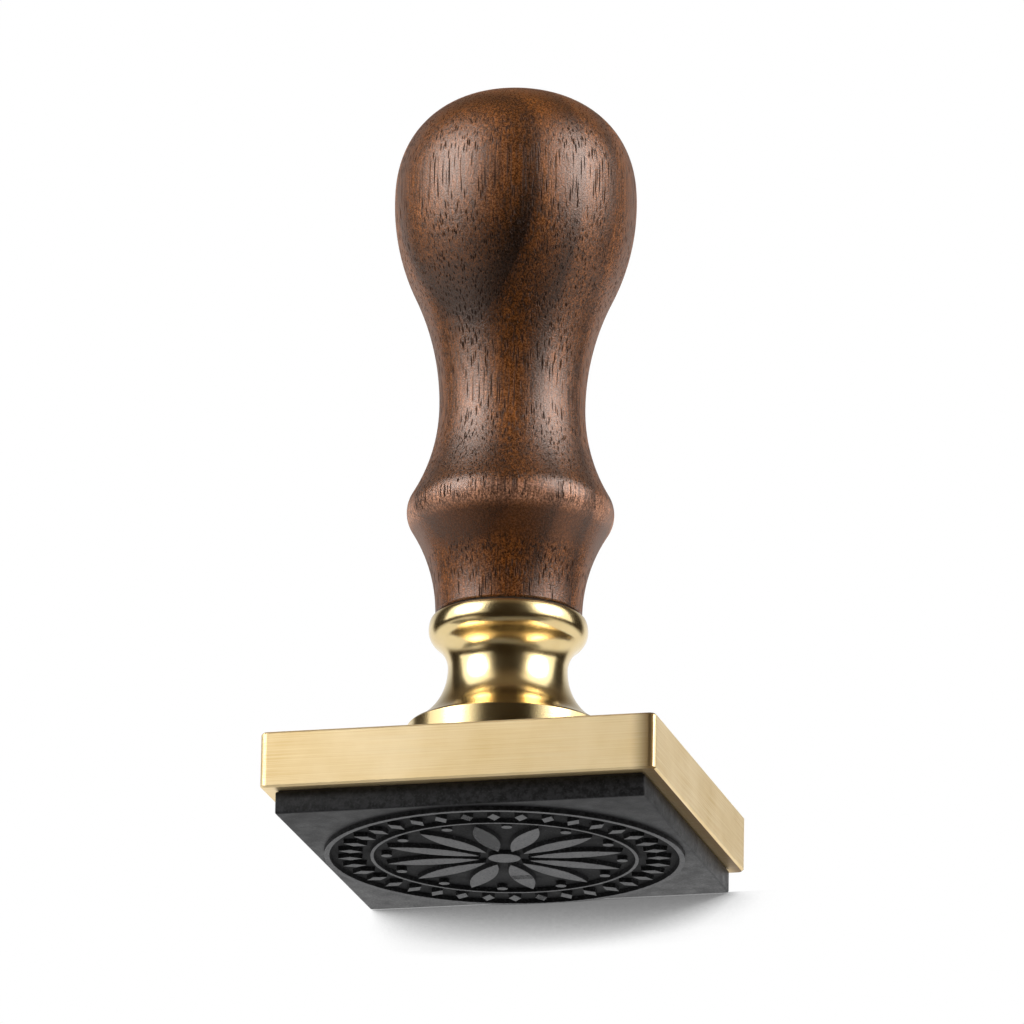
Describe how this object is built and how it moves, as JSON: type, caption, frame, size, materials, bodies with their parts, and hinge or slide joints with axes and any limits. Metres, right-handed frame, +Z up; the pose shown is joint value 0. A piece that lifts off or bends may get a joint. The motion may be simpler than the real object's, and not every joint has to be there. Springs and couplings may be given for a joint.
{
  "type": "wooden hand stamp",
  "caption": "Hand stamp with a turned wooden pear handle that unscrews from a brass collar on a square brass plate with a raised rubber printing die.",
  "frame": {"origin": "centre of the printing face of the die, on the surface that the stamp stands on", "axes": "+Z up the handle's axis, -Y the front that the picture shows, +X to the right of the front"},
  "size_m": [0.06, 0.06, 0.1202],
  "materials": {
    "walnut": "turned, sanded and oiled",
    "brass_polished": "turned and polished",
    "brass_brushed": "brushed lengthwise",
    "brass_machined": "as machined",
    "steel": "zinc plated",
    "fibre": "dark pressed fibre",
    "film": "black double-sided adhesive film",
    "rubber": "moulded, matte"
  },
  "bodies": {
    "base": {"base_plate": "brass_brushed", "rubber_die": "rubber", "die_adhesive": "film", "collar": "brass_polished", "stud": "steel", "plate_screw": "steel", "dowel_pins": "steel"},
    "washer": {"seat_washer": "fibre"},
    "handle": {"handle": "walnut", "handle_insert": "brass_machined"}
  },
  "joints": [
    {"name": "handle_rise", "type": "slide", "parent": "base", "child": "washer", "axis": [0, 0, 1], "range_m": [0, 0.00876]},
    {"name": "handle_turn", "type": "hinge", "parent": "washer", "child": "handle", "pos_m": [0, 0, 0.0377], "axis": [0, 0, 1], "range_deg": [0, 2520]}
  ],
  "couplings": [
    {"joint": "handle_rise", "follows": "handle_turn", "m_per_rad": 0.00019894}
  ]
}
